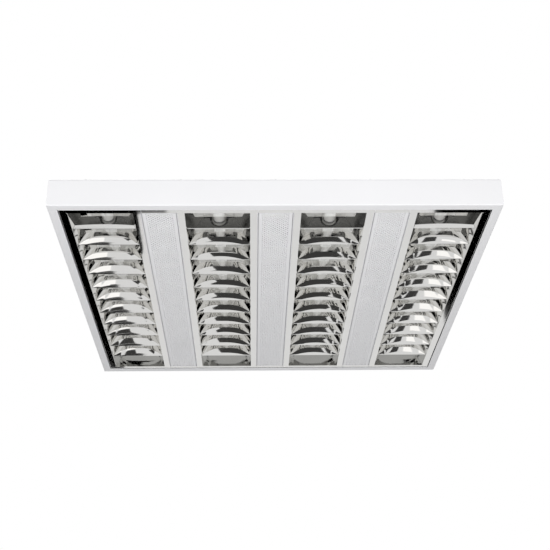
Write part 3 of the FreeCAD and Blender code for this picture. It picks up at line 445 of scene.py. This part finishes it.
def add_end_plate(verts, faces, x, low, high, end):
    """End plate: upright at its foot, leaning over its strip at the top, notched round the tube.

    end is -1 at the front and 1 at the back."""
    reach = high.y + opening_half if end < 0 else opening_half - low.y
    fractions = [-1 + i / PLATE_COLUMNS for i in range(PLATE_COLUMNS)]
    turns = [math.pi * (i / NOTCH_COLUMNS - 0.5) for i in range(NOTCH_COLUMNS + 1)]
    columns = [("side", f) for f in fractions] + [("notch", math.sin(t)) for t in turns]
    columns += [("side", -f) for f in fractions[::-1]]
    base = len(verts)
    for kind, f in columns:
        top = high.z
        if kind == "notch":
            top = high.z - NOTCH_RADIUS * math.sqrt(max(0.0, 1 - f * f))
        for row in range(PLATE_ROWS + 1):
            z = low.z + (top - low.z) * row / PLATE_ROWS
            if kind == "notch":
                across = f * NOTCH_RADIUS
            else:
                beyond = mirror_half_width(z) - FIT_GAP - NOTCH_RADIUS
                across = math.copysign(1.0, f) * (NOTCH_RADIUS + abs(f) * beyond)
            rise = (z - low.z) / (high.z - low.z)
            y = opening_half - reach * rise * rise
            verts.append((x + across, end * y, z))
            verts.append((x + across, end * (y + MIRROR_SHEET), z))
    stride = 2 * (PLATE_ROWS + 1)
    last = len(columns) - 1
    for column in range(last):
        a = base + column * stride
        b = a + stride
        for row in range(PLATE_ROWS):
            i = 2 * row
            faces.append((a + i, b + i, b + i + 2, a + i + 2)[::end])
            faces.append((a + i + 1, b + i + 1, b + i + 3, a + i + 3)[::-end])
        faces.append((a, a + 1, b + 1, b)[::end])
        i = 2 * PLATE_ROWS
        faces.append((a + i, a + i + 1, b + i + 1, b + i)[::-end])
    for column, order in ((0, 1), (last, -1)):
        a = base + column * stride
        for row in range(PLATE_ROWS):
            i = 2 * row
            faces.append((a + i, a + i + 1, a + i + 3, a + i + 2)[::order * end])


def end_plates(name, end, look):
    """The end plates at one end of the strips, with the foot that each stands on."""
    low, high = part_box(name)
    foot_edge = low.y if end < 0 else high.y
    near, far = sorted((foot_edge, end * opening_half))
    half = mirror_half_width(low.z) - FIT_GAP
    foot_top = low.z + MIRROR_SHEET
    foot = [(-half, low.z), (half, low.z), (half, foot_top), (-half, foot_top)]
    verts = []
    faces = []
    for x in strip_x.values():
        add_end_plate(verts, faces, x, low, high, end)
        add_prism(verts, faces, shifted(foot, x), near, far)
    piece("mirror_%s" % name, verts, faces, look, "louvre", name)


# --- lampholders --------------------------------------------------------------------------

HOLDER_STEPS = 24              # round the lower end
HOLDER_SETBACK = 0.05 * MM     # of a holder's face from that of its turning core

holder_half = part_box("lampholders_front")[1].x - strip_x[STRIPS[-1]]


def lampholders(name, end):
    """Lampholders with a round lower end, at the front (end is -1) or at the back (1)."""
    low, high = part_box(name)
    back = low.y if end < 0 else high.y
    face = high.y if end < 0 else low.y
    near, far = sorted((back, face + end * HOLDER_SETBACK))
    outline = [(holder_half, high.z), (holder_half, lamp_axis)]
    for i in range(1, HOLDER_STEPS):
        turn = math.pi * i / HOLDER_STEPS
        outline.append((holder_half * math.cos(turn),
                        lamp_axis - (lamp_axis - low.z) * math.sin(turn)))
    outline += [(-holder_half, lamp_axis), (-holder_half, high.z)]
    verts = []
    faces = []
    for x in strip_x.values():
        add_prism(verts, faces, shifted(outline[::-1], x), near, far)
    piece("rounded_%s" % name, verts, faces, holder_plastic, "housing", name)


# --- perforated panels --------------------------------------------------------------------

HOLE_STEP = 2.85 * MM          # holes lie on every second crossing of a grid this fine
HOLE_RADIUS = 1.05 * MM
END_HOLE_RADIUS = 1.5 * MM     # the last row of holes, beside the back rail
HOLE_SIDES = 8
GROOVE = 1.3 * MM              # dark groove between a panel's field and the bars beside it


def add_both(verts, faces, corners, z0, z1):
    """The same flat polygon on the sheet's lower and upper face."""
    base = len(verts)
    count = len(corners)
    verts.extend((x, y, z0) for x, y in corners)
    verts.extend((x, y, z1) for x, y in corners)
    faces.append(tuple(base + i for i in range(count))[::-1])
    faces.append(tuple(base + count + i for i in range(count)))


def add_diamond(verts, faces, cx, cy, radius, z0, z1):
    """One diamond of sheet with a round hole in its middle."""
    base = len(verts)
    for z in (z0, z1):
        for i in range(HOLE_SIDES):
            turn = 2 * math.pi * (i + 0.5) / HOLE_SIDES
            verts.append((cx + radius * math.cos(turn), cy + radius * math.sin(turn), z))
        for dx, dy in ((1, 0), (0, 1), (-1, 0), (0, -1)):
            verts.append((cx + dx * HOLE_STEP, cy + dy * HOLE_STEP, z))
    low = base
    high = base + HOLE_SIDES + 4
    for i in range(HOLE_SIDES):
        j = (i + 1) % HOLE_SIDES
        faces.append((low + j, low + i, high + i, high + j))
    for c in range(4):
        before = (2 * c - 1) % HOLE_SIDES
        after = 2 * c
        beyond = (2 * c + 1) % HOLE_SIDES
        corner = HOLE_SIDES + c
        following = HOLE_SIDES + (c + 1) % 4
        for start, order in ((low, -1), (high, 1)):
            faces.append((start + corner, start + after, start + before)[::order])
            faces.append((start + corner, start + following, start + beyond,
                          start + after)[::order])


def perforated_field(verts, faces, x, half_x, half_y, z0, z1):
    """Sheet with staggered holes and a plain margin all round."""
    a = HOLE_STEP
    columns = 2 * int((half_x - a) / (2 * a))
    rows = 2 * int((half_y - a) / (2 * a))
    for i in range(-columns, columns + 1):
        for j in range(-rows, rows + 1):
            if (i + j) % 2 == 0:
                radius = END_HOLE_RADIUS if j == rows else HOLE_RADIUS
                add_diamond(verts, faces, x + i * a, j * a, radius, z0, z1)
    edge_x = columns * a
    edge_y = rows * a
    for side in (-1, 1):
        for j in range(-rows, rows):
            bulge_0 = a if j % 2 == 0 else 0
            bulge_1 = a - bulge_0
            corners = [(side * half_x, j * a), (side * (edge_x + bulge_0), j * a),
                       (side * (edge_x + bulge_1), (j + 1) * a), (side * half_x, (j + 1) * a)]
            add_both(verts, faces, shifted(corners, x)[::-side], z0, z1)
        for i in range(-columns, columns):
            bulge_0 = a if i % 2 == 0 else 0
            bulge_1 = a - bulge_0
            corners = [(i * a, side * half_y), (i * a, side * (edge_y + bulge_0)),
                       ((i + 1) * a, side * (edge_y + bulge_1)), ((i + 1) * a, side * half_y)]
            add_both(verts, faces, shifted(corners, x)[::side], z0, z1)
        for end in (-1, 1):
            corners = [(side * half_x, end * half_y), (side * edge_x, end * half_y),
                       (side * edge_x, end * (edge_y + a)), (side * (edge_x + a), end * edge_y),
                       (side * half_x, end * edge_y)]
            add_both(verts, faces, shifted(corners, x)[::-side * end], z0, z1)


def infill_panel(number):
    """Perforated panel between two strips: its field level with the bars, its edges above them."""
    name = "infill_panel_%d" % number
    low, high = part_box(name)
    x = middle_x(name)
    bar_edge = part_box("side_reflectors_%d" % (number + 1))[0].x
    half_field = bar_edge - x - GROOVE
    sheet = high.z - low.z
    verts = []
    faces = []
    perforated_field(verts, faces, x, half_field, opening_half, low.z - sheet, low.z)
    for side in (-1, 1):
        line = [(half_field, low.z - sheet), (half_field, low.z), (high.x - x, low.z)]
        outline = sheet_outline(line, sheet)
        if side < 0:
            outline = flipped(outline)
        add_prism(verts, faces, shifted(outline, x), low.y, high.y)
    piece("perforated_%s" % name, verts, faces, panel_paint, "louvre", name)


# The end plates' dark colours are painted reflection.
end_plates("end_plates_front", -1, dark_painted_reflection_metal)
end_plates("end_plates_back", 1, grey_painted_reflection_metal)
lampholders("lampholders_front", -1)
lampholders("lampholders_back", 1)
for number in STRIPS:
    side_reflectors(number)
    louvre_blades(number)
    top_reflector(number)
for number in PANELS:
    infill_panel(number)


# --- camera -------------------------------------------------------------------------------

# Fitted to the eight visible corners of the rim in the photograph.
CAMERA_PLACE = Vector((-0.03266, -1.47696, -0.68345))
CAMERA_RIGHT = Vector((0.99973601, -0.01891796, -0.01303957))
CAMERA_UP = Vector((0.00331084, -0.44298258, 0.89652411))

camera_data = bpy.data.cameras.new("camera")
camera_data.sensor_width = 36.0
camera_data.lens = 68.355
camera_data.clip_start = 0.05
camera_data.clip_end = 30.0
camera = bpy.data.objects.new("camera", camera_data)
bpy.context.scene.collection.objects.link(camera)
turn = Matrix((CAMERA_RIGHT, CAMERA_UP, CAMERA_RIGHT.cross(CAMERA_UP))).transposed()
camera.matrix_world = Matrix.Translation(CAMERA_PLACE) @ turn.to_4x4()
bpy.context.scene.camera = camera


# --- floor --------------------------------------------------------------------------------

FLOOR_HEIGHT = -1.45
FLOOR_HALF = 8.0
FLOOR_PALENESS = 0.42          # glow that the camera alone sees


def plane(name, corners, material):
    """Flat polygon of the studio, which is no part of the object."""
    mesh = bpy.data.meshes.new(name)
    mesh.from_pydata(corners, [], [tuple(range(len(corners)))])
    mesh.update()
    mesh.materials.append(material)
    made = bpy.data.objects.new(name, mesh)
    bpy.context.scene.collection.objects.link(made)
    return made


floor_look = surface("floor_look", (0.84, 0.84, 0.84), 0.7, tint=0.01, tint_scale=2.0, bump=0.05)
glow(floor_look, colour=(1.0, 1.0, 1.0), strength=0.0)
floor_tree = floor_look.node_tree
floor_path = floor_tree.nodes.new("ShaderNodeLightPath")
paleness = floor_tree.nodes.new("ShaderNodeMapRange")
paleness.inputs["To Max"].default_value = FLOOR_PALENESS
floor_tree.links.new(floor_path.outputs["Is Camera Ray"], paleness.inputs["Value"])
floor_glow = principled(floor_look).inputs["Emission Strength"]
floor_tree.links.new(paleness.outputs["Result"], floor_glow)
floor = plane("floor", [(x * FLOOR_HALF, y * FLOOR_HALF, FLOOR_HEIGHT)
                        for x, y in ((-1, -1), (1, -1), (1, 1), (-1, 1))], floor_look)
floor.visible_glossy = False


# --- cards that the mirrors reflect -------------------------------------------------------

CARD_DEPTH = 1.30              # of the level cards below the rim
LOW_CARD_HEIGHT = -1.43        # just over the floor
FRONT_Y = -2.6
BACK_Y = 2.6


def card_look(name, brightness):
    """Matt black that glows evenly, so that it reflects at one brightness."""
    material = bpy.data.materials.new(name)
    material.use_nodes = True
    shader = principled(material)
    shader.inputs["Base Color"].default_value = (0.0, 0.0, 0.0, 1.0)
    shader.inputs["Roughness"].default_value = 1.0
    shader.inputs["Specular IOR Level"].default_value = 0.0
    glow(material, (1.0, 0.985, 0.97), brightness)
    return material


def card(name, corners, material):
    """Plane that shows in gloss and nowhere else."""
    made = plane(name, corners, material)
    made.visible_camera = False
    made.visible_diffuse = False
    made.visible_shadow = False
    made.visible_transmission = False
    made.visible_volume_scatter = False


def seen_in_rim_plane(x, y):
    """Point at the cards' depth that the level mirror at (x, y) shows to the camera."""
    image = Vector((CAMERA_PLACE.x, CAMERA_PLACE.y, -CAMERA_PLACE.z))
    through = Vector((x, y, 0.0))
    return image + (through - image) * ((image.z + CARD_DEPTH) / image.z)


black_card = card_look("black_card", 0.0)
dim_card = card_look("dim_card", 0.045)
bright_card = card_look("bright_card", 1.12)

# Corners (x, y) in the rim's plane, where the flat bars show the cards' edges.
level_cards = (
    ("left_card", ((-0.60, -0.40), (-0.110, -0.40), (-0.144, -0.284), (-0.144, -0.277),
                   (-0.1825, -0.276), (-0.1840, -0.176), (-0.266, 0.31), (-0.60, 0.31))),
    ("right_card", ((0.60, -0.40), (0.60, 0.089), (0.285, 0.089), (0.209, -0.284),
                    (0.185, -0.40))),
)
for name, outline in level_cards:
    card(name, [seen_in_rim_plane(x, y) for x, y in outline], black_card)

# Corners (x, z) of the cards that stand in front of the light and behind it.
upright_cards = (
    ("front_card", FRONT_Y, dim_card,
     ((-0.37, -0.45), (-0.24, -0.80), (-0.32, -0.88), (-0.17, -1.40), (0.44, -1.40),
      (0.38, -0.90), (0.45, -0.80), (0.37, -0.45), (0.37, 1.0), (-0.37, 1.0))),
    ("far_left_stripe", FRONT_Y, dim_card,
     ((-1.21, -2.6), (-1.14, -2.6), (-1.10, 0.6), (-1.17, 0.6))),
    ("far_right_stripe", FRONT_Y, dim_card,
     ((1.12, -2.6), (1.17, -2.6), (1.12, 0.6), (1.07, 0.6))),
    ("front_left_card", FRONT_Y, dim_card,
     ((-0.84, -1.44), (-0.57, -1.44), (-0.63, -0.91), (-0.82, -0.91))),
    ("front_right_card", FRONT_Y, dim_card,
     ((0.465, -1.44), (0.58, -1.44), (0.66, -0.3), (0.465, -0.3))),
    ("left_glow", FRONT_Y, bright_card,
     ((-0.84, -0.90), (-0.63, -0.90), (-0.61, -0.42), (-0.82, -0.42))),
    ("right_glow", FRONT_Y, bright_card,
     ((0.72, -1.15), (0.90, -1.15), (0.90, -0.60), (0.72, -0.60))),
    ("back_card", BACK_Y, dim_card,
     ((-3.0, -0.75), (3.0, -0.75), (3.0, 1.0), (-3.0, 1.0))),
)
for name, y, look, outline in upright_cards:
    card(name, [(x, y, z) for x, z in outline], look)

low_card = ((-0.76, -2.42), (-0.58, -2.42), (-0.45, -1.40), (-0.57, -1.40))
card("low_card", [(x, y, LOW_CARD_HEIGHT) for x, y in low_card], dim_card)


# --- lamps and world ----------------------------------------------------------------------

def soft_lamp(name, place, width, height, power):
    """Rectangular lamp that faces the object's origin and doesn't show in its mirrors."""
    data = bpy.data.lights.new(name, "AREA")
    data.shape = "RECTANGLE"
    data.size = width
    data.size_y = height
    data.energy = power
    lamp = bpy.data.objects.new(name, data)
    bpy.context.scene.collection.objects.link(lamp)
    lamp.location = place
    lamp.rotation_euler = (Vector() - Vector(place)).to_track_quat("-Z", "Y").to_euler()
    lamp.visible_glossy = False
    lamp.visible_camera = False


soft_lamp("front_lamp", (0.0, -1.5, -0.66), width=1.4, height=0.5, power=15.3)
soft_lamp("roof_lamp", (1.0, 0.8, 1.2), width=0.8, height=0.8, power=13.0)

WORLD_LIGHT = 0.50             # brightness of the world as a light,
WORLD_REFLECTED = 0.76         # in mirrors and through glass
WORLD_SEEN = 1.0               # and behind the object

world = bpy.data.worlds.new("world")
bpy.context.scene.world = world
world.use_nodes = True
sky = world.node_tree
background = sky.nodes["Background"]
background.inputs["Color"].default_value = (1.0, 1.0, 1.0, 1.0)
path = sky.nodes.new("ShaderNodeLightPath")
reflected_or_through = sky.nodes.new("ShaderNodeMath")
reflected_or_through.operation = "MAXIMUM"
sky.links.new(path.outputs["Is Glossy Ray"], reflected_or_through.inputs[0])
sky.links.new(path.outputs["Is Transmission Ray"], reflected_or_through.inputs[1])
level = sky.nodes.new("ShaderNodeMapRange")
level.inputs["To Min"].default_value = WORLD_LIGHT
level.inputs["To Max"].default_value = WORLD_REFLECTED
sky.links.new(reflected_or_through.outputs["Value"], level.inputs["Value"])
seen = sky.nodes.new("ShaderNodeMapRange")
seen.inputs["To Max"].default_value = WORLD_SEEN
sky.links.new(path.outputs["Is Camera Ray"], seen.inputs["Value"])
sky.links.new(level.outputs["Result"], seen.inputs["To Min"])
sky.links.new(seen.outputs["Result"], background.inputs["Strength"])

bpy.context.scene.view_settings.view_transform = "Standard"
